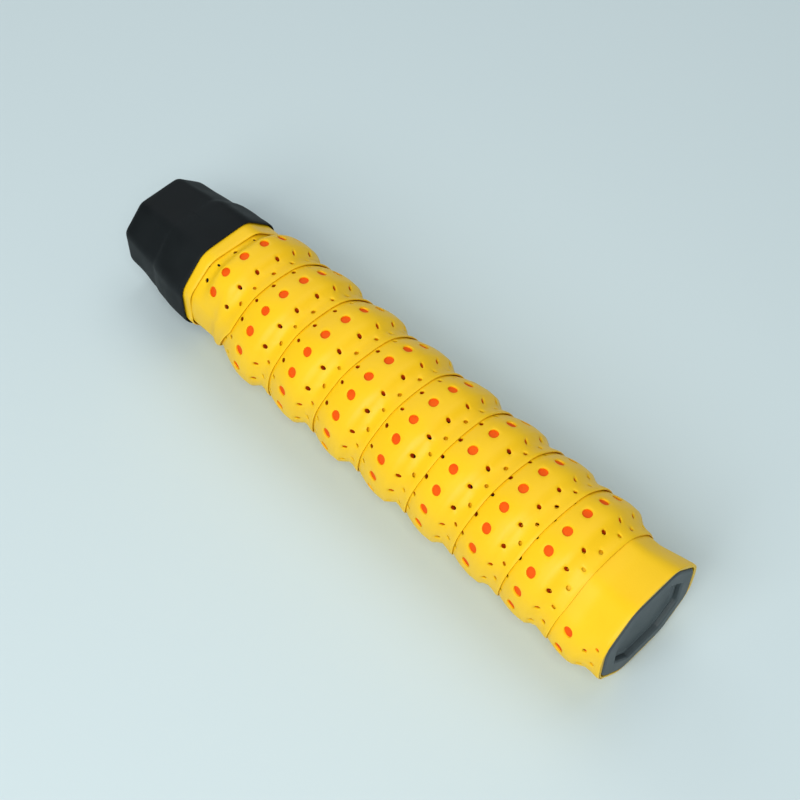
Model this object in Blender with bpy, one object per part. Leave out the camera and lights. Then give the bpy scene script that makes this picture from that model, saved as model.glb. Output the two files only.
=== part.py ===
"""Racket handle wound with a ribbed, perforated grip tape.

The handle lies on its wide side along X: frame side at -X, butt at +X, +Z up.
Every layer follows one rounded octagon. A layer is given by its offset, the
distance of its surface from the octagon's sharp core.
"""
import math

import bmesh
import bpy
from mathutils import Vector

MM = 0.001

# Octagon core of the handle, in mm
CORE_HALF_HEIGHT = 9.72
CORE_HALF_WIDTH = 11.07
CORE_BEVEL = 5.4
CORNER_STEPS = 2

# Stations along the handle, in mm
HALF_LENGTH = 95.35
MOUTH_X = -HALF_LENGTH
BUTT_X = HALF_LENGTH
COLLAR_EDGE_X = -64.85
PALLET_START_X = -82.0
PALLET_END_X = 88.05
LEG_SOCKET_END_X = 38.0
CHAMBER_START_X = 63.0
SKIRT_START_X = 70.0
WEB_BACK_X = 89.55
WEB_FRONT_X = 92.05
FLANGE_X = 86.35
BASE_GRIP_START_X = -77.8
BASE_GRIP_TAPE_X = (-76.4, -70.2)

# Surfaces of the layers, as offsets from the core, in mm
GAP = 0.3
PALLET_OFFSET = 2.5
SKIRT_THICKNESS = 1.3
BASE_GRIP_IN = PALLET_OFFSET + GAP
BASE_GRIP_OUT = 4.2
TAPE_SEAT = BASE_GRIP_OUT + GAP
FLANGE_OFFSET = 5.9
RECESS_OFFSET = 1.3
DOOR_OFFSET = 0.9

# Grip tape winding
PITCH = 17.37
TURNS = 8
FIRST_ROW_X = -54.7
TAPE_THICKNESS = 1.1
RIB_HEIGHT = 3.65
RIB_THROAT_FOOT = -10.0
RIB_PEAK = 3.0
RIB_BUTT_FOOT = 8.6
LAP_CLIMB = (3.4, 6.2)
THROAT_EDGE = -10.65
BUTT_EDGE = 11.85
WINDING_DRIFT = 3.4
DRIFT_LATENESS = 1.45
TOP_EASE = 2.25
TOP_EASE_PHASE = 0.155
END_DRIFT = 0.8
END_DRIFT_TURNS = (7.2, 7.75)
RIB_START_TURNS = (-0.20, -0.08)
LAP_START_TURNS = (-0.42, -0.30)
SLANT_START_TURNS = (-0.18, -0.30)
TAPE_FIRST_TURN = -0.80
TAPE_LAST_TURN = 8.84
RIB_LAST_TURN = 7.86
TAPE_BUTT_X = 95.0
LAST_LAP_X = 91.0
TAPE_THROAT_X = -68.4
FINISHING_START_X = -68.6
FINISHING_EDGE_X = -60.3
FLARE_START_X = 85.0
FLARE_END_X = 94.2

# Height of the floor below the handle's axis: the crest of the wound rib
RIB_CREST = 4.775
AXIS_Z = CORE_HALF_HEIGHT + TAPE_SEAT + RIB_CREST

# Frame leg sockets in the pallets
LEG_CENTRE_Y = 6.7
LEG_HALF_WIDTH = 5.2
LEG_HALF_HEIGHT = 6.6

# Fasteners
SCREW_X = (46.0, 55.0)
SCREW_SHANK_R = 1.5
SCREW_HEAD_R = 3.0
SCREW_HEAD_DEPTH = 1.8
STAPLE_WIRE = 0.8
STAPLE_CROWN = 9.0
STAPLE_LEG = 4.6
STAPLE_CLEARANCE = 0.3
STAPLE_PROUD = 0.05
CAP_STAPLE_X = 78.0
BASE_GRIP_STAPLE_X = 66.0


def clear_scene():
    for obj in list(bpy.data.objects):
        bpy.data.objects.remove(obj, do_unlink=True)


def make_collection(name):
    collection = bpy.data.collections.new(name)
    bpy.context.scene.collection.children.link(collection)
    return collection


def make_material(name, colour, roughness, metallic=0.0):
    material = bpy.data.materials.new(name)
    material.use_nodes = True
    shader = material.node_tree.nodes["Principled BSDF"]
    shader.inputs["Base Color"].default_value = (*colour, 1.0)
    shader.inputs["Roughness"].default_value = roughness
    shader.inputs["Metallic"].default_value = metallic
    return material


def octagon_corners():
    """Core corners clockwise seen from the butt, from the right end of the top flat."""
    top = CORE_HALF_WIDTH - CORE_BEVEL
    side = CORE_HALF_HEIGHT - CORE_BEVEL
    quarter = [(top, CORE_HALF_HEIGHT), (CORE_HALF_WIDTH, side)]
    right = quarter + [(y, -z) for y, z in reversed(quarter)]
    return right + [(-y, -z) for y, z in right]


def stations(steps=CORNER_STEPS):
    """One turn as (corner, normal angle, share of the way round from the top)."""
    corners = octagon_corners()
    bend = TAPE_SEAT * math.pi / 4
    flats = [math.dist(corners[i - 1], corners[i]) for i in range(len(corners))]
    length = sum(flats) + bend * len(corners)
    travelled = -flats[0] / 2
    found = []
    for index, corner in enumerate(corners):
        travelled += flats[index]
        for step in range(steps + 1):
            angle = (index + step / steps) * math.pi / 4
            share = (travelled + bend * step / steps) / length
            found.append((corner, angle, share))
        travelled += bend
    return found


def surface_point(x, station, offset):
    (corner_y, corner_z), angle, _share = station
    y = corner_y + offset * math.sin(angle)
    z = corner_z + offset * math.cos(angle)
    return Vector((x, y, z + AXIS_Z)) * MM


def new_object(name, mesh, material, collection):
    obj = bpy.data.objects.new(name, mesh)
    obj.data.materials.append(material)
    collection.objects.link(obj)
    return obj


def finish_mesh(name, bm, sharp_angle=math.radians(40)):
    bmesh.ops.recalc_face_normals(bm, faces=bm.faces)
    mesh = bpy.data.meshes.new(name)
    bm.to_mesh(mesh)
    bm.free()
    mesh.shade_smooth()
    mesh.set_sharp_from_angle(angle=sharp_angle)
    return mesh


def sweep_mesh(name, rings, closed):
    """Skin a list of rings of points; a closed sweep joins its last ring to its first."""
    bm = bmesh.new()
    loops = [[bm.verts.new(point) for point in ring] for ring in rings]
    pairs = list(zip(loops, loops[1:]))
    if closed:
        pairs.append((loops[-1], loops[0]))
    else:
        bm.faces.new(loops[0])
        bm.faces.new(reversed(loops[-1]))
    for here, there in pairs:
        for i in range(len(here)):
            bm.faces.new((here[i - 1], here[i], there[i], there[i - 1]))
    return finish_mesh(name, bm)


def sleeve(name, profile, material, collection, steps=CORNER_STEPS):
    """A ring round the octagon with a closed profile of (x, offset) points."""
    rings = []
    for station in stations(steps):
        rings.append([surface_point(x, station, offset) for x, offset in profile])
    return new_object(name, sweep_mesh(name, rings, True), material, collection)


def octagon_bar(name, profile, material, collection):
    """A solid octagonal bar whose outside follows (x, offset) points."""
    rings = []
    for x, offset in profile:
        rings.append([surface_point(x, station, offset) for station in stations()])
    return new_object(name, sweep_mesh(name, rings, False), material, collection)


def box(name, low, high, material, collection):
    """An axis-aligned box given in mm, with Z measured from the handle's axis."""
    bm = bmesh.new()
    bmesh.ops.create_cube(bm, size=1.0)
    size = [(b - a) * MM for a, b in zip(low, high)]
    centre = [(a + b) / 2 * MM for a, b in zip(low, high)]
    centre[2] += AXIS_Z * MM
    bmesh.ops.scale(bm, vec=size, verts=bm.verts)
    bmesh.ops.translate(bm, vec=centre, verts=bm.verts)
    return new_object(name, finish_mesh(name, bm), material, collection)


def round_bar(name, start, end, radius, material, collection, end_radius=None, segments=16):
    """A cylinder or cone between two points in mm, Z from the handle's axis."""
    start = Vector(start) + Vector((0, 0, AXIS_Z))
    end = Vector(end) + Vector((0, 0, AXIS_Z))
    along = end - start
    bm = bmesh.new()
    bmesh.ops.create_cone(
        bm, cap_ends=True, segments=segments, radius1=radius * MM,
        radius2=(radius if end_radius is None else end_radius) * MM, depth=along.length * MM)
    bmesh.ops.rotate(bm, matrix=Vector((0, 0, 1)).rotation_difference(along).to_matrix(), verts=bm.verts)
    bmesh.ops.translate(bm, vec=(start + end) / 2 * MM, verts=bm.verts)
    return new_object(name, finish_mesh(name, bm), material, collection)


def rounded_bar(name, start_x, end_x, centre, half_size, corner, material, collection):
    """A bar along X with a rounded rectangular section."""
    bm = bmesh.new()
    bmesh.ops.create_cube(bm, size=1.0)
    size = ((end_x - start_x) * MM, 2 * half_size[0] * MM, 2 * half_size[1] * MM)
    bmesh.ops.scale(bm, vec=size, verts=bm.verts)
    place = ((start_x + end_x) / 2 * MM, centre[0] * MM, (centre[1] + AXIS_Z) * MM)
    bmesh.ops.translate(bm, vec=place, verts=bm.verts)
    long_edges = [e for e in bm.edges if abs(e.verts[0].co.x - e.verts[1].co.x) > size[0] / 2]
    bmesh.ops.bevel(bm, geom=long_edges, offset=corner * MM, segments=4, affect="EDGES", profile=0.5)
    return new_object(name, finish_mesh(name, bm), material, collection)


def combine(obj, tool, operation="DIFFERENCE"):
    modifier = obj.modifiers.new(tool.name, "BOOLEAN")
    modifier.operation = operation
    modifier.solver = "EXACT"
    modifier.object = tool
    tool.hide_render = True
    tool.display_type = "WIRE"


# The plastic handle under the grip

def pallet_half(name, upward, material, parts, tools):
    """Half of the hollow plastic handle, split on the string plane."""
    seat = PALLET_OFFSET - SKIRT_THICKNESS - GAP
    half = octagon_bar(name, [
        (PALLET_START_X, PALLET_OFFSET), (SKIRT_START_X - GAP, PALLET_OFFSET),
        (SKIRT_START_X - GAP, seat), (PALLET_END_X, seat)], material, parts)
    for side in (-1, 1):
        socket = rounded_bar(
            f"{name}_leg_socket_{side}", PALLET_START_X - 5.0, LEG_SOCKET_END_X, (side * LEG_CENTRE_Y, 0.0),
            (LEG_HALF_WIDTH, LEG_HALF_HEIGHT), 4.6, material, tools)
        combine(half, socket)
    chamber = rounded_bar(
        name + "_chamber", CHAMBER_START_X, PALLET_END_X + 5.0, (0.0, 0.0), (7.2, 4.8), 2.0, material, tools)
    combine(half, chamber)
    reach = 30.0
    low_z = -reach if upward else -GAP / 2
    high_z = GAP / 2 if upward else reach
    other = box(name + "_other_half", (-120, -reach, low_z), (120, reach, high_z), material, tools)
    combine(half, other)
    for index, x in enumerate(SCREW_X):
        shank = round_bar(
            f"{name}_screw_hole_{index}", (x, 0, -9.2), (x, 0, 30), SCREW_SHANK_R + GAP, material, tools)
        combine(half, shank)
        if upward:
            top = CORE_HALF_HEIGHT + PALLET_OFFSET
            head = round_bar(
                f"{name}_countersink_{index}", (x, 0, top - SCREW_HEAD_DEPTH - 2 * GAP), (x, 0, top + 1.0),
                SCREW_SHANK_R + GAP, material, tools, end_radius=SCREW_HEAD_R + GAP + 1.2)
            combine(half, head)
    return half


def pallet_screw(name, x, material, parts, tools):
    """A countersunk self-tapping screw that clamps the two halves."""
    top = CORE_HALF_HEIGHT + PALLET_OFFSET - GAP
    neck = top - SCREW_HEAD_DEPTH
    screw = round_bar(
        name, (x, 0, neck), (x, 0, top), SCREW_SHANK_R, material, parts, end_radius=SCREW_HEAD_R)
    shank = round_bar(name + "_shank", (x, 0, -8.0), (x, 0, neck + 0.8), SCREW_SHANK_R, material, tools)
    tip = round_bar(
        name + "_tip", (x, 0, -9.0), (x, 0, -7.9), 0.5, material, tools, end_radius=SCREW_SHANK_R)
    slot = box(name + "_slot", (x - 2.2, -0.4, top - 0.7), (x + 2.2, 0.4, top + 1.0), material, tools)
    cross = box(name + "_cross", (x - 0.4, -2.2, top - 0.7), (x + 0.4, 2.2, top + 1.0), material, tools)
    combine(screw, shank, "UNION")
    combine(screw, tip, "UNION")
    combine(screw, slot)
    combine(screw, cross)
    return screw


# Staples

def staple_boxes(centre, outward, crown_axis, grow):
    """The crown and two legs of a staple as boxes, grown all round by a clearance."""
    half_wire = STAPLE_WIRE / 2 + grow
    centre = Vector(centre)
    outward = Vector(outward)
    crown_axis = Vector(crown_axis)
    across = outward.cross(crown_axis)

    def span(middle, reach_out, reach_crown):
        reach = outward * reach_out + crown_axis * reach_crown + across * half_wire
        reach = Vector([abs(value) for value in reach])
        return middle - reach, middle + reach

    boxes = [span(centre, half_wire, STAPLE_CROWN / 2 + grow)]
    for side in (-1, 1):
        foot = centre + crown_axis * side * (STAPLE_CROWN - STAPLE_WIRE) / 2 - outward * STAPLE_LEG / 2
        boxes.append(span(foot, STAPLE_LEG / 2 + half_wire, half_wire))
    return boxes


def staple(name, centre, outward, crown_axis, material, parts, tools):
    crown, *legs = staple_boxes(centre, outward, crown_axis, 0.0)
    wire = box(name, *crown, material, parts)
    for index, leg in enumerate(legs):
        combine(wire, box(f"{name}_leg_{index}", *leg, material, tools), "UNION")
    return wire


def cut_staple_seat(obj, name, centre, outward, crown_axis, material, tools):
    for index, seat in enumerate(staple_boxes(centre, outward, crown_axis, STAPLE_CLEARANCE)):
        combine(obj, box(f"{obj.name}_{name}_seat_{index}", *seat, material, tools))


# Butt cap and its door

def butt_cap(material, parts, tools):
    """Moulded cap: a skirt over the pallets, a flared flange and a recessed end."""
    skirt_in = PALLET_OFFSET - SKIRT_THICKNESS
    cap = sleeve("butt_cap", [
        (SKIRT_START_X, skirt_in),
        (SKIRT_START_X, PALLET_OFFSET),
        (FLANGE_X, PALLET_OFFSET),
        (FLANGE_X, BASE_GRIP_OUT),
        (90.5, 5.0),
        (FLARE_END_X, FLANGE_OFFSET),
        (95.0, FLANGE_OFFSET - 0.15),
        (BUTT_X, FLANGE_OFFSET - 0.6),
        (BUTT_X, RECESS_OFFSET + 0.3),
        (BUTT_X - 0.4, RECESS_OFFSET),
        (WEB_BACK_X + 1.0, RECESS_OFFSET),
        (WEB_BACK_X + 1.0, skirt_in)], material, parts)
    web_rim = RECESS_OFFSET + 0.6
    web = octagon_bar(
        "butt_cap_web", [(WEB_BACK_X, web_rim), (WEB_FRONT_X, web_rim)], material, tools)
    combine(cap, web, "UNION")
    window = rounded_bar(
        "butt_cap_window", WEB_BACK_X - 3.0, WEB_FRONT_X + 3.0, (0.0, 0.0), (6.8, 4.4), 1.5, material, tools)
    combine(cap, window)
    return cap


def butt_door(material, parts, tools):
    """Snap-in plate in the cap's recess, with a plug that fills the window."""
    front = WEB_FRONT_X + GAP + 1.6
    door = octagon_bar(
        "butt_door", [(WEB_FRONT_X + GAP, DOOR_OFFSET), (front, DOOR_OFFSET)], material, parts)
    plug = rounded_bar(
        "butt_door_plug", WEB_BACK_X - 1.0, WEB_FRONT_X + GAP + 0.8, (0.0, 0.0), (6.4, 4.0), 1.3,
        material, tools)
    combine(door, plug, "UNION")
    notch = rounded_bar(
        "butt_door_notch", WEB_FRONT_X, front + 1.0, (CORE_HALF_WIDTH + DOOR_OFFSET, 0.0), (1.4, 3.0), 0.9,
        material, tools)
    combine(door, notch)
    return door


# Grip tape

def ramp(value, start, end):
    """0 at the start, 1 at the end, straight between."""
    return min(max((value - start) / (end - start), 0.0), 1.0)


def winding_x(turn):
    """Where the row of large holes runs after so many turns, hand-wound and so uneven."""
    wave = TOP_EASE * math.sin(2 * math.pi * turn - TOP_EASE_PHASE)
    drift = WINDING_DRIFT * math.sin(math.pi * ramp(turn, 0.0, TURNS) ** DRIFT_LATENESS)
    return FIRST_ROW_X + PITCH * turn - wave + drift + END_DRIFT * ramp(turn, *END_DRIFT_TURNS)


def seat_offset(x):
    """The surface that the tape is wound on: level, then flared over the cap's flange."""
    flare = ramp(x, FLARE_START_X, FLARE_END_X)
    return TAPE_SEAT + (FLANGE_OFFSET + GAP - TAPE_SEAT) * flare


def rib_share(turn):
    """1 where the tape is ribbed, 0 along its plain ends."""
    return ramp(turn, *RIB_START_TURNS) * ramp(turn, RIB_LAST_TURN, RIB_LAST_TURN - 0.12)


def lap_share(turn):
    """1 where the tape's butt margin lies over the turn before it."""
    return ramp(turn, *LAP_START_TURNS) * ramp(turn, RIB_LAST_TURN + 0.05, RIB_LAST_TURN - 0.01)


def edge_limits(turn):
    """Throat and butt edges of the tape, cut on a slant at both of its ends."""
    row = winding_x(turn)
    throat = max(row + THROAT_EDGE, TAPE_THROAT_X)
    butt = min(row + BUTT_EDGE, TAPE_BUTT_X)
    if turn < SLANT_START_TURNS[0]:
        beside = winding_x(turn + 1) + THROAT_EDGE - GAP
        butt += (beside - butt) * ramp(turn, *SLANT_START_TURNS)
    if turn > RIB_LAST_TURN:
        butt = TAPE_BUTT_X
    elif turn > 7.3:
        opening = (TAPE_BUTT_X - LAST_LAP_X) * ramp(turn, RIB_LAST_TURN - 0.06, RIB_LAST_TURN)
        butt = min(butt, LAST_LAP_X + opening)
    return throat, butt


# Places across the tape, from the row of large holes, that its section and its rib's follow
FACE_PLACES = (THROAT_EDGE, -8.0, -5.5, -2.8, 0.0, 3.0, 5.2, 7.2, 9.4, BUTT_EDGE)
RIB_PLACES = (-4.9, -2.8, 0.0, 3.0, 4.6)
MARGIN_START = 5.0


def winding_stations(first_turn, last_turn):
    """Octagon stations from the first turn to the last, each with its turn number."""
    found = []
    for turn in range(math.floor(first_turn) - 1, math.ceil(last_turn) + 1):
        for station in stations():
            place = turn + station[2]
            if first_turn <= place <= last_turn:
                found.append((place, station))
    return found


def place_across(across, turn):
    """Where a point of the tape's section lies along the handle at this turn."""
    row = winding_x(turn)
    throat, butt = edge_limits(turn)
    evenly = throat + (across - THROAT_EDGE) / (BUTT_EDGE - THROAT_EDGE) * (butt - throat)
    ribbed = row + across
    if across > MARGIN_START:
        share = (across - MARGIN_START) / (BUTT_EDGE - MARGIN_START)
        ribbed = row + MARGIN_START + share * (butt - row - MARGIN_START)
    share = rib_share(turn)
    return ribbed * share + evenly * (1 - share)


def clear_of_band(x):
    """0 under the finishing tape, rising to 1 beside it."""
    return ramp(x, FINISHING_EDGE_X + 1.5, FINISHING_EDGE_X + 4.5)


def rib_height(turn, x):
    """How far the rib swells the tape: a long rise from the throat side, then a short fall."""
    across = x - winding_x(turn)
    if across < RIB_PEAK:
        swell = math.sin(math.pi / 2 * ramp(across, RIB_THROAT_FOOT, RIB_PEAK))
    else:
        swell = (1 + math.cos(math.pi * ramp(across, RIB_PEAK, RIB_BUTT_FOOT))) / 2
    return RIB_HEIGHT * swell * rib_share(turn) * clear_of_band(x)


def face_underside(turn, x):
    """Height of the outer layer's underside above its seat, lapped over the turn beside it."""
    climb = ramp(x - winding_x(turn), *LAP_CLIMB) * lap_share(turn) * clear_of_band(x)
    return rib_height(turn, x) + climb * (TAPE_THICKNESS + GAP + rib_height(turn + 1, x))


def overgrip_face(material, parts):
    """The outer layer of the tape, wound from the butt with its butt edge on top."""
    rings = []
    for turn, station in winding_stations(TAPE_FIRST_TURN, TAPE_LAST_TURN):
        ring = []
        for places, thickness in ((FACE_PLACES, TAPE_THICKNESS), (FACE_PLACES[::-1], 0.0)):
            for across in places:
                x = place_across(across, turn)
                height = thickness + face_underside(turn, x)
                ring.append(surface_point(x, station, seat_offset(x) + height))
        rings.append(ring)
    return new_object("overgrip_face", sweep_mesh("overgrip_face", rings, False), material, parts)


def overgrip_rib(material, parts):
    """The foam rib laminated under the tape's face."""
    rings = []
    for turn, station in winding_stations(-0.06, RIB_LAST_TURN - 0.14):
        foot, *places = [winding_x(turn) + across for across in RIB_PLACES]
        section = [(foot, 0.0)] + [(x, rib_height(turn, x) - GAP) for x in places] + [(places[-1], 0.0)]
        rings.append([surface_point(x, station, seat_offset(x) + height) for x, height in section])
    return new_object("overgrip_rib", sweep_mesh("overgrip_rib", rings, False), material, parts)


# Sleeves round the handle

def base_grip(material, parts):
    return sleeve("base_grip", [
        (BASE_GRIP_START_X, BASE_GRIP_IN), (BASE_GRIP_START_X, BASE_GRIP_OUT - 0.5),
        (BASE_GRIP_START_X + 1.0, BASE_GRIP_OUT),
        (FLANGE_X - GAP, BASE_GRIP_OUT), (FLANGE_X - GAP, BASE_GRIP_IN)], material, parts)


def base_grip_tape(material, parts):
    low = BASE_GRIP_OUT + GAP
    start, end = BASE_GRIP_TAPE_X
    high = low + 0.25
    return sleeve("base_grip_tape", [(start, low), (start, high), (end, high), (end, low)], material, parts)


def finishing_tape(material, parts):
    low = TAPE_SEAT + TAPE_THICKNESS + GAP
    high = low + 0.3
    return sleeve("finishing_tape", [
        (FINISHING_START_X, low), (FINISHING_START_X, high), (FINISHING_EDGE_X, high),
        (FINISHING_EDGE_X, low)], material, parts)


def collar(material, parts):
    """Rubber collar stretched over the grip's top end, narrower towards the frame."""
    return sleeve("collar", [
        (MOUTH_X, 2.4), (MOUTH_X + 0.5, 3.1), (MOUTH_X + 1.6, 3.6), (-89.9, 4.0), (-83.5, 4.7),
        (-79.6, 5.2), (-78.6, 5.8), (-76.8, 6.25), (-72.0, 6.95), (-66.0, 7.1), (COLLAR_EDGE_X, 6.95),
        (COLLAR_EDGE_X, 6.5), (-69.4, 6.5), (-70.4, 5.1), (-77.6, 5.1), (-78.6, 2.85), (-84.0, 2.85),
        (-85.0, 2.1), (MOUTH_X, 2.1)], material, parts, steps=3)


def build():
    clear_scene()
    parts = make_collection("grip_tape_handle")
    tools = make_collection("cutters")
    abs_grey = make_material("moulded_grey", (0.10, 0.12, 0.14), 0.55)
    abs_black = make_material("pallet_black", (0.03, 0.03, 0.03), 0.5)
    black_grip = make_material("black_grip", (0.02, 0.02, 0.02), 0.7)
    yellow = make_material("yellow_face", (0.86, 0.60, 0.03), 0.42)
    orange = make_material("orange_foam", (0.83, 0.12, 0.01), 0.6)
    rubber = make_material("black_rubber", (0.012, 0.015, 0.017), 0.6)
    steel = make_material("zinc_steel", (0.6, 0.6, 0.6), 0.35, 1.0)

    upper = pallet_half("pallet_upper", True, abs_black, parts, tools)
    lower = pallet_half("pallet_lower", False, abs_black, parts, tools)
    for index, x in enumerate(SCREW_X, start=1):
        pallet_screw(f"pallet_screw_{index}", x, steel, parts, tools)
    cap = butt_cap(abs_grey, parts, tools)
    butt_door(abs_grey, parts, tools)

    side_out = CORE_HALF_WIDTH + PALLET_OFFSET - STAPLE_WIRE / 2 + STAPLE_PROUD
    for side, name in ((-1, "cap_staple_left"), (1, "cap_staple_right")):
        place = ((CAP_STAPLE_X, side * side_out, 0.0), (0, side, 0), (0, 0, 1))
        staple(name, *place, steel, parts, tools)
        for holder in (cap, upper, lower):
            cut_staple_seat(holder, name, *place, abs_grey, tools)

    grip = base_grip(black_grip, parts)
    top_out = CORE_HALF_HEIGHT + BASE_GRIP_OUT - STAPLE_WIRE / 2 - STAPLE_PROUD
    place = ((BASE_GRIP_STAPLE_X, 0.0, top_out), (0, 0, 1), (0, 1, 0))
    staple("base_grip_staple", *place, steel, parts, tools)
    for holder in (grip, upper):
        cut_staple_seat(holder, "base_grip_staple", *place, abs_grey, tools)

    base_grip_tape(black_grip, parts)
    overgrip_rib(orange, parts)
    overgrip_face(yellow, parts)
    finishing_tape(yellow, parts)
    collar(rubber, parts)


build()
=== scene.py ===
"""Looks of a racket handle wound with a ribbed, perforated grip tape.

The tape is made flat, punched, given its thickness and then wound: a yellow face over an
orange backing. Lengths are in mm until wrap() places a point. Heights are measured from the
surface that the tape is wound on, and offsets from the handle's octagonal core.
"""
import math

import bmesh
import bpy
from mathutils import Matrix, Vector, noise


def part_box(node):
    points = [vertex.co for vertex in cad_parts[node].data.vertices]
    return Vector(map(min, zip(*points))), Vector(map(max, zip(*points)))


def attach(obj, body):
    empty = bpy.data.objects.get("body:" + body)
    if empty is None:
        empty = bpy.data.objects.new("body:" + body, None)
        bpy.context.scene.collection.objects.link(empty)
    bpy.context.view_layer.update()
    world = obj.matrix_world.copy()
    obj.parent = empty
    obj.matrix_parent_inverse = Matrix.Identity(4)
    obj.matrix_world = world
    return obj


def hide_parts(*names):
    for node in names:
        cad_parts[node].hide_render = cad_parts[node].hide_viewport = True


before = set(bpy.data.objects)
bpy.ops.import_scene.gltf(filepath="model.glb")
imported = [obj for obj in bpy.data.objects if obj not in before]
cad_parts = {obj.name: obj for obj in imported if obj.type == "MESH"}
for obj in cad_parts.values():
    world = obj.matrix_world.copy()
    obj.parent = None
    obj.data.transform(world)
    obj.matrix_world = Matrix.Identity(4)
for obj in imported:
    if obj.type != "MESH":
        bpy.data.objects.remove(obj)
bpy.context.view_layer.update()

MM = 0.001


def edges_mm(node, axis):
    """Where a CAD node starts and ends along one axis, in mm."""
    low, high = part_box(node)
    return low[axis] / MM, high[axis] / MM


# Handle section, read from the sleeve under the tape
BASE_GRIP_OUT = 4.2
CORE_BEVEL = 5.4
grip_bottom, grip_top = edges_mm("base_grip", 2)
AXIS_Z = (grip_bottom + grip_top) / 2
CORE_HALF_HEIGHT = (grip_top - grip_bottom) / 2 - BASE_GRIP_OUT
CORE_HALF_WIDTH = edges_mm("base_grip", 1)[1] - BASE_GRIP_OUT

# Stations along the handle
BUTT_X = edges_mm("butt_cap", 0)[1]
SKIRT_START_X, _ = edges_mm("butt_cap", 0)
MOUTH_X, COLLAR_EDGE_X = edges_mm("collar", 0)
TAPE_THROAT_X, TAPE_BUTT_X = edges_mm("overgrip_face", 0)
BAND_START_X, BAND_EDGE_X = edges_mm("finishing_tape", 0)
DOOR_BACK_X, DOOR_FRONT_X = edges_mm("butt_door", 0)
TAPE_SEAT = 4.5
FLANGE_OFFSET = 5.9
FLARE_START_X = 85.0
FLARE_END_X = 94.2
CLEARANCE = 0.3
OVAL_EXTRA = 0.6
ROUNDNESS = 0.65

# Winding
PITCH = 17.37
TURNS = 8
FIRST_ROW_X = -54.7
WINDING_DRIFT = 3.4
DRIFT_LATENESS = 1.45
TOP_EASE = 2.25
TOP_EASE_PHASE = 0.155
TAPE_FIRST_TURN = -0.80
TAPE_LAST_TURN = 8.84
BACKING_LAST_TURN = 8.45
RIB_LAST_TURN = 7.84
END_DRIFT = 0.8
END_DRIFT_TURNS = (7.2, 7.75)
THROAT_EDGE = -10.65
BUTT_EDGE = 11.85
EDGE_WANDER = 0.9
RIB_START_TURNS = (-0.20, -0.08)
LAP_START_TURNS = (-0.42, -0.30)
SLANT_START_TURNS = (-0.18, -0.30)
BUTT_CLOSING_TURNS = (7.40, 7.72)
SKIVE_START_TURN = 8.50
MARGIN_START = 5.0

# Tape: film, backing and the rib under the holes
FACE_THICKNESS = 0.55
TAPE_THICKNESS = 1.1
LAYER_GAP = 0.03
RIB_HEIGHT = 3.6
RIB_PEAK = 2.6
RIB_THROAT_FOOT = -10.0
RIB_BUTT_FOOT = 9.2
EDGE_THICKNESS = 0.60
EDGE_ROUNDING = 0.25
EDGE_LIFT = 0.12
LAP_CLIMB = (3.0, 5.8)
EDGE_THIN_FROM = 8.5
EDGE_LIFT_FROM = 9.0
EDGE_ROUNDING_FROM = 11.2
UNEVENNESS = 0.10
FAR_SIDE_LIFT = 0.14

# Holes
DOTS_PER_TURN = 17.18
DOT_SPACING = 7.41
FIRST_DOT_TURN = 0.0447
COLUMNS_PER_DOT = 6
COLUMN = DOT_SPACING / COLUMNS_PER_DOT
TAPE_PER_TURN = DOTS_PER_TURN * DOT_SPACING
SKEW = 0.14
SLACK = 2.3
SLACK_TURN = 4.9
SLACK_REACH = 0.5
DOT_RADIUS = 1.5
DOT_RIM = 0.4
HOLE_DIP = 0.14
DOT_BULGE = 0.05
PIN_RADIUS = 0.68
PIN_RIM = 0.25
BACKING_PIN_RADIUS = 0.95
FIRST_DOT = -3
LAST_DOT = 133
# Lines across the tape that its mesh follows
ROWS = (THROAT_EDGE, -9.9, -8.75, -7.5, -6.25, -5.0, -3.7, -2.4, -1.2, 0.0, 1.2, 2.4, 3.7, 5.0, 6.3,
        7.8, 9.3, 10.6, 11.2, 11.6, BUTT_EDGE)
# Rows of small holes: distance across, and the shift along in columns
PIN_ROWS = ((-7.5, 3), (-5.0, 0), (6.3, 0), (9.3, 3))


# Shapes

def ramp(value, start, end):
    """0 at the start, 1 at the end, straight between."""
    return min(max((value - start) / (end - start), 0.0), 1.0)


def ease(value, start, end):
    """0 at the start, 1 at the end, with a soft start and end."""
    share = ramp(value, start, end)
    return share * share * (3 - 2 * share)


def octagon_corners():
    """Core corners clockwise seen from the butt, from the right end of the top flat."""
    top = CORE_HALF_WIDTH - CORE_BEVEL
    side = CORE_HALF_HEIGHT - CORE_BEVEL
    quarter = [(top, CORE_HALF_HEIGHT), (CORE_HALF_WIDTH, side)]
    right = quarter + [(y, -z) for y, z in reversed(quarter)]
    return [Vector(corner) for corner in right + [(-y, -z) for y, z in right]]


CORNERS = octagon_corners()
FLATS = [(CORNERS[i] - CORNERS[i - 1]).length for i in range(len(CORNERS))]
BEND = (TAPE_SEAT + TAPE_THICKNESS + RIB_HEIGHT) * math.pi / 4
GIRTH = sum(FLATS) + BEND * len(CORNERS)


def station(turn):
    """The core point and the outward angle after so much of a turn from the middle of the top."""
    travelled = (turn % 1.0) * GIRTH + FLATS[0] / 2
    for index, corner in enumerate(CORNERS):
        if travelled < FLATS[index]:
            return CORNERS[index - 1].lerp(corner, travelled / FLATS[index]), index * math.pi / 4
        travelled -= FLATS[index]
        if travelled < BEND:
            return corner, (index + travelled / BEND) * math.pi / 4
        travelled -= BEND
    return CORNERS[-1].lerp(CORNERS[0], travelled / FLATS[0]), 0.0


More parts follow.
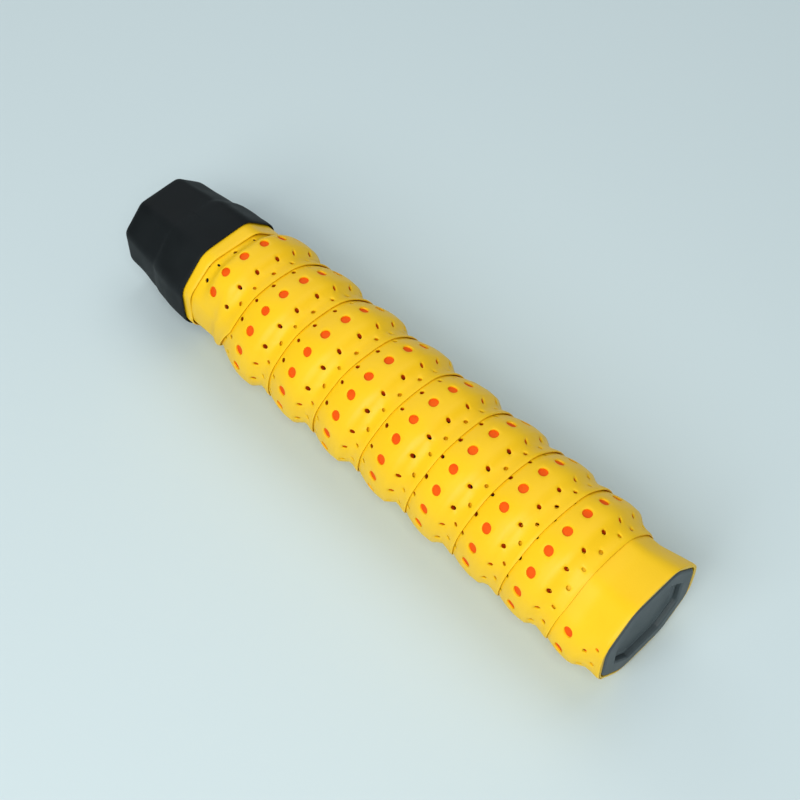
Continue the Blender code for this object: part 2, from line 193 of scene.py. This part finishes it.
def wrap(x, turn, offset, roundness=0.0):
    """A point on the handle in metres, at this offset from the core. Below 0 the core shrinks.

    Roundness draws the octagonal section towards an oval.
    """
    core, angle = station(turn)
    if offset < 0:
        core = core * (1 + offset / CORE_HALF_HEIGHT)
        offset = 0.0
    point = core + offset * Vector((math.sin(angle), math.cos(angle)))
    if roundness:
        wide = CORE_HALF_WIDTH + offset + OVAL_EXTRA
        tall = CORE_HALF_HEIGHT + offset
        outward = point.normalized()
        oval = outward / math.hypot(outward.x / wide, outward.y / tall)
        point = point.lerp(oval, roundness)
    return Vector((x, point.x, point.y + AXIS_Z)) * MM


def seat_offset(x):
    """The surface that the tape is wound on: level, then flared over the cap's flange."""
    flare = ramp(x, FLARE_START_X, FLARE_END_X)
    return TAPE_SEAT + (FLANGE_OFFSET + CLEARANCE - TAPE_SEAT) * flare


def winding_x(turn):
    """Where the row of large holes runs after so many turns, hand-wound and so uneven."""
    wave = TOP_EASE * math.sin(2 * math.pi * turn - TOP_EASE_PHASE)
    drift = WINDING_DRIFT * math.sin(math.pi * ramp(turn, 0.0, TURNS) ** DRIFT_LATENESS)
    return FIRST_ROW_X + PITCH * turn - wave + drift + END_DRIFT * ease(turn, *END_DRIFT_TURNS)


def wound_turn(along):
    """The turn that a place along the tape is wound to: even, apart from one slack stretch."""
    turn = FIRST_DOT_TURN + along / TAPE_PER_TURN
    return turn - SLACK / TAPE_PER_TURN * ease(abs(turn - SLACK_TURN), SLACK_REACH, 0.0)


def rib_share(turn):
    """1 where the tape is ribbed, 0 along its plain ends."""
    return ease(turn, *RIB_START_TURNS) * ease(turn, RIB_LAST_TURN + 0.02, RIB_LAST_TURN - 0.12)


def lap_share(turn):
    """1 where the tape's butt margin lies over the turn before it."""
    return ease(turn, *LAP_START_TURNS) * ease(turn, RIB_LAST_TURN + 0.05, RIB_LAST_TURN - 0.01)


def edge_limits(turn, butt_limit):
    """Throat and butt edges of the tape, cut on a slant at both of its ends."""
    row = winding_x(turn)
    throat = max(row + THROAT_EDGE, TAPE_THROAT_X)
    uneven = EDGE_WANDER * noise.noise(Vector((turn * 2.2, 7.3, 0.0)))
    butt = min(row + BUTT_EDGE + uneven, butt_limit)
    if turn < SLANT_START_TURNS[0]:
        beside = winding_x(turn + 1) + THROAT_EDGE - CLEARANCE
        butt += (beside - butt) * ramp(turn, *SLANT_START_TURNS)
    if turn > RIB_LAST_TURN:
        butt = butt_limit
    else:
        butt += (butt_limit - butt) * ease(turn, *BUTT_CLOSING_TURNS)
    return throat, butt


def place_across(across, turn, butt_limit):
    """Where a point of the tape's section lies along the handle at this turn."""
    row = winding_x(turn)
    throat, butt = edge_limits(turn, butt_limit)
    evenly = throat + (across - THROAT_EDGE) / (BUTT_EDGE - THROAT_EDGE) * (butt - throat)
    ribbed = row + across
    if across > MARGIN_START:
        share = (across - MARGIN_START) / (BUTT_EDGE - MARGIN_START)
        ribbed = row + MARGIN_START + share * (butt - row - MARGIN_START)
    share = rib_share(turn)
    return ribbed * share + evenly * (1 - share)


def end_taper(turn):
    """The tape's thickness as a share of its whole, skived thin at its butt end."""
    return 1 - 0.85 * ease(turn, SKIVE_START_TURN, TAPE_LAST_TURN)


def clear_of_band(x):
    """0 under the finishing band, rising to 1 beside it."""
    return ramp(x, BAND_EDGE_X + 0.5, BAND_EDGE_X + 4.0)


def own_height(turn, x):
    """Top of one layer of tape above its seat: film, backing and rib, with a little unevenness."""
    across = x - winding_x(turn)
    if across < RIB_PEAK:
        swell = math.sin(math.pi / 2 * ramp(across, RIB_THROAT_FOOT, RIB_PEAK))
    else:
        swell = (1 + math.cos(math.pi * ramp(across, RIB_PEAK, RIB_BUTT_FOOT))) / 2
    rib = RIB_HEIGHT * swell * rib_share(turn) * clear_of_band(x)
    uneven = UNEVENNESS * noise.noise(Vector((turn * 5.0, x * 0.11, 3.1)))
    return (TAPE_THICKNESS + uneven) * end_taper(turn) + rib


def tape_heights(turn, x):
    """Top and underside of the wound tape above its seat, lapped over the turn beside it."""
    across = x - winding_x(turn)
    climb = ease(across, *LAP_CLIMB) * lap_share(turn) * clear_of_band(x)
    beside = own_height(turn + 1, x) + 2 * LAYER_GAP
    far_side = ease(abs((turn - 0.17) % 1.0 - 0.5), 0.38, 0.5)
    lift = (EDGE_LIFT + FAR_SIDE_LIFT * far_side) * ease(across, EDGE_LIFT_FROM, BUTT_EDGE) * climb
    underside = climb * beside + lift
    thin = (TAPE_THICKNESS - EDGE_THICKNESS) * ease(across, EDGE_THIN_FROM, BUTT_EDGE) * lap_share(turn)
    return underside + own_height(turn, x) - thin, underside


def dot_distance(along, across, row, shift):
    """Distance in mm to the nearest hole of a row, whose holes are shifted by so many columns."""
    column = along / COLUMN - shift
    nearest = round(column / COLUMNS_PER_DOT) * COLUMNS_PER_DOT
    return math.hypot((column - nearest) * COLUMN, across - row)


def hole_dip(along, across):
    """How far the film is drawn down beside a hole's edge."""
    away = dot_distance(along, across, 0.0, 0) - DOT_RADIUS
    dip = HOLE_DIP * (1 - ramp(away, 0.0, DOT_RIM))
    for row, shift in PIN_ROWS:
        away = dot_distance(along, across, row, shift) - PIN_RADIUS
        dip = max(dip, HOLE_DIP * (1 - ramp(away, 0.0, PIN_RIM)))
    return dip


def dot_bulge(along, across):
    """How far the backing swells up into a large hole."""
    return DOT_BULGE * (1 - ease(dot_distance(along, across, 0.0, 0), 0.5, DOT_RADIUS))


# Mesh helpers

def finish_piece(name, bm, material, body, nodes, sharp=45):
    """Make a piece from a mesh in place, with its finish, its body and the nodes it stands for."""
    bmesh.ops.recalc_face_normals(bm, faces=bm.faces)
    mesh = bpy.data.meshes.new(name)
    bm.to_mesh(mesh)
    bm.free()
    mesh.shade_smooth()
    mesh.set_sharp_from_angle(angle=math.radians(sharp))
    mesh.materials.append(material)
    piece = bpy.data.objects.new(name, mesh)
    bpy.context.scene.collection.objects.link(piece)
    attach(piece, body)
    if nodes:
        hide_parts(*nodes)
    return piece


def flat_strip(columns, rows):
    """A flat grid with a vertex at every column and row, and the vertices by column and row."""
    bm = bmesh.new()
    bmesh.ops.create_grid(bm, x_segments=columns, y_segments=rows, size=0.5)
    grid = {}
    for vert in bm.verts:
        column = round((vert.co.x + 0.5) * columns)
        row = round((vert.co.y + 0.5) * rows)
        grid[column, row] = vert
    return bm, grid


def sleeve(profile, columns, relief=None):
    """A closed ring round the handle whose section is a closed line of (x, offset) points."""
    bm, grid = flat_strip(columns, len(profile))
    for (column, row), vert in grid.items():
        x, offset = profile[row % len(profile)]
        turn = column / columns
        if relief:
            offset += relief(x, turn, offset)
        vert.co = wrap(x, turn, offset)
    bmesh.ops.remove_doubles(bm, verts=bm.verts, dist=1e-6)
    return bm


def divided(points, step):
    """The closed line of points with no stretch longer than the step."""
    line = []
    for index, end in enumerate(points):
        start = Vector(points[index - 1])
        end = Vector(end)
        pieces = max(1, round((end - start).length / step))
        line += [tuple(start.lerp(end, (i + 1) / pieces)) for i in range(pieces)]
    return line


# The tape

def punched_strip(rows, last_turn, pin_radius, large_holes):
    """The tape laid flat with its holes punched: X along it, Y across it, in mm."""
    per_turn = DOTS_PER_TURN * COLUMNS_PER_DOT
    first = math.ceil((TAPE_FIRST_TURN - FIRST_DOT_TURN) * per_turn)
    last = math.floor((last_turn - FIRST_DOT_TURN) * per_turn)
    bm, grid = flat_strip(last - first, len(rows) - 1)
    for (column, row), vert in grid.items():
        vert.co = ((column + first) * COLUMN, rows[row], 0.0)

    holes = []
    for dot in range(FIRST_DOT, LAST_DOT + 1):
        middle = dot * COLUMNS_PER_DOT - first
        if large_holes:
            holes.append((middle, rows.index(0.0), 2, DOT_RADIUS, DOT_RIM))
        holes += [(middle + shift, rows.index(row), 1, pin_radius, PIN_RIM) for row, shift in PIN_ROWS]

    inside = []
    for column, row, reach, _radius, _rim in holes:
        inner = range(1 - reach, reach)
        inside += [grid[column + i, row + j] for i in inner for j in inner]
    centres = [grid[column, row].co.copy() for column, row, *_ in holes]
    bmesh.ops.dissolve_verts(bm, verts=inside)
    faces = []
    for column, row, reach, _radius, _rim in holes:
        near = grid[column - reach, row - reach]
        far = grid[column + reach, row + reach]
        faces.append(next(face for face in near.link_faces if far in face.verts))
    for ring in (1, 0):
        bmesh.ops.inset_individual(bm, faces=faces, thickness=0.05)
        for face, centre, (_column, _row, _reach, radius, rim) in zip(faces, centres, holes):
            for vert in face.verts:
                vert.co = centre + (vert.co - centre).normalized() * (radius + rim * ring)
    bmesh.ops.delete(bm, geom=faces, context="FACES_ONLY")
    return bm


def wound_layer(name, bm, surfaces, butt_limit, material, node):
    """Give the punched strip its thickness and wind it round the handle.

    surfaces(top, underside, x, turn, along, across) gives the layer's outer and inner heights.
    """
    bmesh.ops.solidify(bm, geom=bm.faces[:], thickness=1.0)
    levels = [vert.co.z for vert in bm.verts]
    middle = (min(levels) + max(levels)) / 2
    for vert in bm.verts:
        along, across, level = vert.co
        turn = wound_turn(along) - SKEW * across / TAPE_PER_TURN
        x = place_across(across, turn, butt_limit)
        top, underside = tape_heights(turn, x)
        outer, inner = surfaces(top, underside, x, turn, along, across)
        height = outer if level > middle else inner
        roundness = ROUNDNESS * ease(height, 0.0, 1.8)
        vert.co = wrap(x, turn, seat_offset(x) + height, roundness)
    return finish_piece(name, bm, material, "handle", [node])


def tape_face(material):
    """The yellow film, thicker at the butt where its cut edge shows."""
    def surfaces(top, underside, x, turn, along, across):
        outer = top - hole_dip(along, across) * rib_share(turn)
        outer -= EDGE_ROUNDING * ease(across, EDGE_ROUNDING_FROM, BUTT_EDGE) * lap_share(turn)
        whole = TAPE_THICKNESS - 2 * LAYER_GAP
        depth = FACE_THICKNESS + (whole - FACE_THICKNESS) * ramp(x, 93.7, 94.1)
        return outer, max(top - depth * end_taper(turn), underside + LAYER_GAP)

    strip = punched_strip(ROWS, TAPE_LAST_TURN, PIN_RADIUS, True)
    return wound_layer(
        "tape_face", strip, surfaces, TAPE_BUTT_X, material, "overgrip_face")


def tape_backing(material):
    """The orange foam backing under the film, which fills the rib and swells into the dots."""
    def surfaces(top, underside, x, turn, along, across):
        outer = top - FACE_THICKNESS - LAYER_GAP + dot_bulge(along, across) * rib_share(turn)
        return max(outer, underside + 2 * LAYER_GAP), underside + LAYER_GAP

    strip = punched_strip(ROWS[1:-2], BACKING_LAST_TURN, BACKING_PIN_RADIUS, False)
    return wound_layer(
        "tape_backing", strip, surfaces, TAPE_BUTT_X - 1.6, material, "overgrip_rib")


def finishing_band(material):
    """The thin plain band at the collar, cut on a skew."""
    low = TAPE_SEAT + TAPE_THICKNESS + CLEARANCE
    bm, grid = flat_strip(96, 7)
    for (column, row), vert in grid.items():
        turn = column / 96
        narrow = 2.4 * (1 - math.cos(2 * math.pi * (turn - 0.14))) / 2
        edge = BAND_EDGE_X - narrow
        ring = ((BAND_START_X, 0.0), (BAND_START_X, 0.3), (edge - 1.2, 0.3), (edge - 0.25, 0.27),
                (edge, 0.12), (edge, 0.0), (edge - 1.2, 0.0))
        x, height = ring[row % 7]
        vert.co = wrap(x, turn, low + height)
    bmesh.ops.remove_doubles(bm, verts=bm.verts, dist=1e-6)
    return finish_piece(
        "finishing_band", bm, material, "handle", ["finishing_tape"], sharp=60)


# Collar, cap and door

def collar_sleeve(material):
    """Stretched rubber collar: soft facets, a step over the pallet's end and slight folds."""
    outline = [
        (MOUTH_X, 2.2), (MOUTH_X, 2.7), (MOUTH_X + 0.5, 3.2), (MOUTH_X + 1.6, 3.6), (-89.9, 4.0),
        (-83.5, 4.7), (-79.9, 5.15), (-78.9, 5.7), (-76.8, 6.2), (-72.0, 6.8), (-66.6, 7.0),
        (COLLAR_EDGE_X - 0.4, 7.0), (COLLAR_EDGE_X, 6.8), (COLLAR_EDGE_X, 6.5), (-69.4, 6.5),
        (-70.4, 5.1), (-77.6, 5.1), (-78.6, 2.85), (-84.0, 2.85), (-85.0, 2.2)]

    def folds(x, turn, offset):
        outside = ease(offset, 3.0, 3.6) if x < -78.8 else ease(offset, 5.15, 5.7)
        outside *= 1 - ease(x, COLLAR_EDGE_X - 4.0, COLLAR_EDGE_X - 0.8)
        sine, cosine = math.sin(2 * math.pi * turn), math.cos(2 * math.pi * turn)
        swirl = noise.noise(Vector((x * 0.16, sine * 1.5, cosine * 1.5)))
        crease = noise.noise(Vector((x * 0.45 + turn * 9.0, sine * 3, 5.0)))
        near_step = ease(abs(x + 77.5), 7.0, 1.0)
        return outside * (0.30 * swirl + 0.22 * crease * near_step)

    bm = sleeve(divided(outline, 1.4), 96, folds)
    piece = finish_piece("collar_sleeve", bm, material, "collar", ["collar"], sharp=60)
    smooth = piece.modifiers.new("smooth", "SUBSURF")
    smooth.levels = 1
    smooth.render_levels = 1
    return piece


def round_edges(piece, width):
    """Round every edge sharper than 30 degrees."""
    bevel = piece.modifiers.new("round_edges", "BEVEL")
    bevel.limit_method = "ANGLE"
    bevel.angle_limit = math.radians(30)
    bevel.width = width * MM
    bevel.segments = 3


def cap_shell(material):
    """Moulded cap: skirt, flared flange, recess wall and the web behind the door."""
    outline = [
        (SKIRT_START_X, 1.2), (SKIRT_START_X, 2.5), (86.35, 2.5), (86.35, 4.2), (90.5, 5.0),
        (FLARE_END_X, FLANGE_OFFSET), (95.0, FLANGE_OFFSET - 0.15), (BUTT_X, FLANGE_OFFSET - 0.6),
        (BUTT_X, 1.65), (BUTT_X - 0.4, 1.25), (92.05, 1.2), (92.05, -3.6), (89.6, -3.6), (89.6, 1.2)]
    bm = sleeve(outline, 96)
    piece = finish_piece("cap_shell", bm, material, "handle", ["butt_cap"], sharp=35)
    round_edges(piece, 0.22)
    return piece


def door_plate(material):
    """Snap-in plate with a low raised border and the plug behind it."""
    plate_back_x = DOOR_FRONT_X - 1.6
    profile = ((plate_back_x, 0.85), (DOOR_FRONT_X, 0.85), (DOOR_FRONT_X, -0.35),
               (DOOR_FRONT_X - 0.35, -0.7))
    bm, grid = flat_strip(64, len(profile) - 1)
    for (column, row), vert in grid.items():
        x, offset = profile[row]
        vert.co = wrap(x, column / 64, offset)
    bmesh.ops.remove_doubles(bm, verts=bm.verts, dist=1e-6)
    bmesh.ops.holes_fill(bm, edges=bm.edges)
    plug = Matrix.Translation(((DOOR_BACK_X + plate_back_x) / 2 * MM, 0, AXIS_Z * MM))
    plug @= Matrix.Diagonal(((plate_back_x - DOOR_BACK_X) * MM, 12.8 * MM, 8.0 * MM, 1.0))
    bmesh.ops.create_cube(bm, size=1.0, matrix=plug)
    piece = finish_piece("door_plate", bm, material, "door", ["butt_door"], sharp=35)
    round_edges(piece, 0.15)
    return piece


# Materials

def new_group(name, inputs, outputs):
    group = bpy.data.node_groups.new(name, "ShaderNodeTree")
    for label, kind, value in inputs:
        socket = group.interface.new_socket(label, in_out="INPUT", socket_type=kind)
        socket.default_value = value
    for label, kind in outputs:
        group.interface.new_socket(label, in_out="OUTPUT", socket_type=kind)
    return group, group.nodes.new("NodeGroupInput"), group.nodes.new("NodeGroupOutput")


def grain_group():
    """Two sizes of mottling and a fine grain, as masks between 0 and 1."""
    group, given, result = new_group(
        "surface_grain",
        [("Patch Scale", "NodeSocketFloat", 60.0), ("Grain Scale", "NodeSocketFloat", 2500.0)],
        [("Patches", "NodeSocketFloat"), ("Grain", "NodeSocketFloat")])
    nodes = group.nodes
    links = group.links
    place = nodes.new("ShaderNodeTexCoord")
    for output, scale, detail in (("Patches", "Patch Scale", 4.0), ("Grain", "Grain Scale", 2.0)):
        texture = nodes.new("ShaderNodeTexNoise")
        texture.inputs["Detail"].default_value = detail
        links.new(place.outputs["Object"], texture.inputs["Vector"])
        links.new(given.outputs[scale], texture.inputs["Scale"])
        links.new(texture.outputs["Fac"], result.inputs[output])
    return group


def cells_group():
    """Small closed cells, as in foam or moulded stipple: a height between 0 and 1."""
    group, given, result = new_group(
        "small_cells", [("Scale", "NodeSocketFloat", 1500.0)], [("Height", "NodeSocketFloat")])
    place = group.nodes.new("ShaderNodeTexCoord")
    cells = group.nodes.new("ShaderNodeTexVoronoi")
    cells.feature = "SMOOTH_F1"
    group.links.new(place.outputs["Object"], cells.inputs["Vector"])
    group.links.new(given.outputs["Scale"], cells.inputs["Scale"])
    group.links.new(cells.outputs["Distance"], result.inputs["Height"])
    return group


GRAIN = grain_group()
CELLS = cells_group()


def surface(name, colour, shade, roughness, patch_scale, grain_scale, bump, cells=0.0, cell_scale=1500.0):
    """A mottled, finely grained material between two colours and two roughnesses."""
    material = bpy.data.materials.new(name)
    material.use_nodes = True
    nodes = material.node_tree.nodes
    links = material.node_tree.links
    shader = nodes["Principled BSDF"]
    grain = nodes.new("ShaderNodeGroup")
    grain.node_tree = GRAIN
    grain.inputs["Patch Scale"].default_value = patch_scale
    grain.inputs["Grain Scale"].default_value = grain_scale
    tint = nodes.new("ShaderNodeValToRGB")
    tint.color_ramp.elements[0].position = 0.32
    tint.color_ramp.elements[0].color = (*shade, 1.0)
    tint.color_ramp.elements[1].position = 0.66
    tint.color_ramp.elements[1].color = (*colour, 1.0)
    links.new(grain.outputs["Patches"], tint.inputs["Fac"])
    links.new(tint.outputs["Color"], shader.inputs["Base Color"])
    spread = nodes.new("ShaderNodeMapRange")
    spread.inputs["From Min"].default_value = 0.3
    spread.inputs["From Max"].default_value = 0.7
    spread.inputs["To Min"].default_value = roughness[0]
    spread.inputs["To Max"].default_value = roughness[1]
    links.new(grain.outputs["Patches"], spread.inputs["Value"])
    links.new(spread.outputs["Result"], shader.inputs["Roughness"])
    relief = nodes.new("ShaderNodeBump")
    relief.inputs["Strength"].default_value = bump
    relief.inputs["Distance"].default_value = 0.05 * MM
    links.new(grain.outputs["Grain"], relief.inputs["Height"])
    links.new(relief.outputs["Normal"], shader.inputs["Normal"])
    if cells:
        stipple = nodes.new("ShaderNodeGroup")
        stipple.node_tree = CELLS
        stipple.inputs["Scale"].default_value = cell_scale
        pits = nodes.new("ShaderNodeBump")
        pits.inputs["Strength"].default_value = cells
        pits.inputs["Distance"].default_value = 0.08 * MM
        links.new(stipple.outputs["Height"], pits.inputs["Height"])
        links.new(relief.outputs["Normal"], pits.inputs["Normal"])
        links.new(pits.outputs["Normal"], shader.inputs["Normal"])
    return material, shader


def yellow_film():
    material, shader = surface(
        "yellow_film", (0.93, 0.585, 0.008), (0.89, 0.545, 0.006), (0.40, 0.50), 55.0, 2600.0, 0.16,
        cells=0.10, cell_scale=2200.0)
    shader.inputs["Specular IOR Level"].default_value = 0.3
    return material


def yellow_band():
    material, shader = surface(
        "yellow_band", (0.92, 0.585, 0.010), (0.88, 0.540, 0.008), (0.34, 0.42), 80.0, 1800.0, 0.10)
    shader.inputs["Specular IOR Level"].default_value = 0.35
    return material


def orange_foam():
    material, shader = surface(
        "orange_foam", (0.86, 0.115, 0.004), (0.80, 0.085, 0.003), (0.55, 0.68), 200.0, 3000.0, 0.25,
        cells=0.35, cell_scale=3200.0)
    shader.inputs["Specular IOR Level"].default_value = 0.12
    return material


def black_rubber():
    material, shader = surface(
        "black_rubber", (0.0075, 0.0105, 0.0120), (0.0045, 0.0065, 0.0075), (0.50, 0.66), 70.0, 3200.0,
        0.22)
    shader.inputs["Specular IOR Level"].default_value = 0.13
    return material


def slate_plastic():
    material, _shader = surface(
        "slate_plastic", (0.058, 0.080, 0.086), (0.044, 0.062, 0.070), (0.48, 0.60), 150.0, 2400.0, 0.20,
        cells=0.25, cell_scale=1800.0)
    return material


def black_nylon():
    material, _shader = surface(
        "black_nylon", (0.020, 0.020, 0.021), (0.013, 0.013, 0.014), (0.42, 0.56), 90.0, 2200.0, 0.2,
        cells=0.3, cell_scale=1400.0)
    return material


def black_grip():
    material, _shader = surface(
        "black_grip", (0.018, 0.016, 0.015), (0.011, 0.010, 0.010), (0.6, 0.75), 90.0, 2600.0, 0.3,
        cells=0.4, cell_scale=1600.0)
    return material


def zinc_steel():
    material, shader = surface(
        "zinc_steel", (0.62, 0.62, 0.60), (0.52, 0.52, 0.50), (0.28, 0.42), 400.0, 4000.0, 0.1)
    shader.inputs["Metallic"].default_value = 1.0
    return material


def finish_node(name, material):
    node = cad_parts[name]
    node.data.materials.clear()
    node.data.materials.append(material)


# Stage

def floor_sheet():
    """A wide pale sheet under the handle."""
    bm = bmesh.new()
    bmesh.ops.create_grid(bm, x_segments=1, y_segments=1, size=3.0)
    mesh = bpy.data.meshes.new("floor_sheet")
    bm.to_mesh(mesh)
    bm.free()
    floor = bpy.data.objects.new("floor_sheet", mesh)
    bpy.context.scene.collection.objects.link(floor)
    material = bpy.data.materials.new("pale_sheet")
    material.use_nodes = True
    shader = material.node_tree.nodes["Principled BSDF"]
    shader.inputs["Base Color"].default_value = (0.575, 0.690, 0.722, 1.0)
    shader.inputs["Roughness"].default_value = 0.7
    mesh.materials.append(material)


def soft_light(name, place, aim, size, power, colour):
    light = bpy.data.lights.new(name, "AREA")
    light.shape = "DISK"
    light.size = size
    light.energy = power
    light.color = colour
    lamp = bpy.data.objects.new(name, light)
    lamp.location = place
    lamp.rotation_mode = "QUATERNION"
    lamp.rotation_quaternion = (Vector(aim) - Vector(place)).to_track_quat("-Z", "Y")
    bpy.context.scene.collection.objects.link(lamp)


def studio():
    centre = (0.0, 0.0, 0.02)
    soft_light("key", (0.10, -0.75, 0.62), centre, 0.60, 5.0, (1.0, 0.98, 0.95))
    soft_light("front", (0.42, -0.42, 0.86), centre, 0.55, 4.2, (1.0, 0.99, 0.97))
    soft_light("overhead", (-0.10, 0.45, 1.05), centre, 0.9, 2.9, (1.0, 1.0, 1.0))
    soft_light("throat_fill", (-0.85, 0.35, 0.55), centre, 0.7, 1.2, (0.96, 0.98, 1.0))
    world = bpy.data.worlds.new("studio")
    world.use_nodes = True
    background = world.node_tree.nodes["Background"]
    background.inputs["Color"].default_value = (0.86, 0.93, 0.97, 1.0)
    background.inputs["Strength"].default_value = 0.24
    bpy.context.scene.world = world
    bpy.context.scene.view_settings.view_transform = "Standard"


def camera():
    """A camera above the butt, to the handle's right, looking down at its axis."""
    azimuth = math.radians(45.224)
    elevation = math.radians(55.266)
    distance = 420.62
    shift_left, shift_up = 14.095, 15.953
    back = Vector((
        math.sin(azimuth) * math.cos(elevation), -math.cos(azimuth) * math.cos(elevation),
        math.sin(elevation)))
    right = Vector((math.cos(azimuth), math.sin(azimuth), 0.0))
    up = back.cross(right)
    pivot = Vector((26.05, 0.0, AXIS_Z))
    place = pivot + back * distance - right * shift_left + up * shift_up
    data = bpy.data.cameras.new("camera")
    data.lens = 69.89
    data.sensor_width = 36.0
    data.clip_start = 0.01
    view = bpy.data.objects.new("camera", data)
    view.rotation_mode = "QUATERNION"
    view.location = place * MM
    view.rotation_quaternion = Matrix((right, up, back)).transposed().to_quaternion()
    bpy.context.scene.collection.objects.link(view)
    bpy.context.scene.camera = view


def build():
    camera()
    studio()
    floor_sheet()
    slate = slate_plastic()
    nylon = black_nylon()
    grip = black_grip()
    steel = zinc_steel()
    tape_face(yellow_film())
    tape_backing(orange_foam())
    finishing_band(yellow_band())
    collar_sleeve(black_rubber())
    cap_shell(slate)
    door_plate(slate)
    for name in ("pallet_upper", "pallet_lower"):
        finish_node(name, nylon)
    for name in ("base_grip", "base_grip_tape"):
        finish_node(name, grip)
    for name in ("pallet_screw_1", "pallet_screw_2", "cap_staple_left", "cap_staple_right",
                 "base_grip_staple"):
        finish_node(name, steel)


build()
bpy.context.view_layer.update()
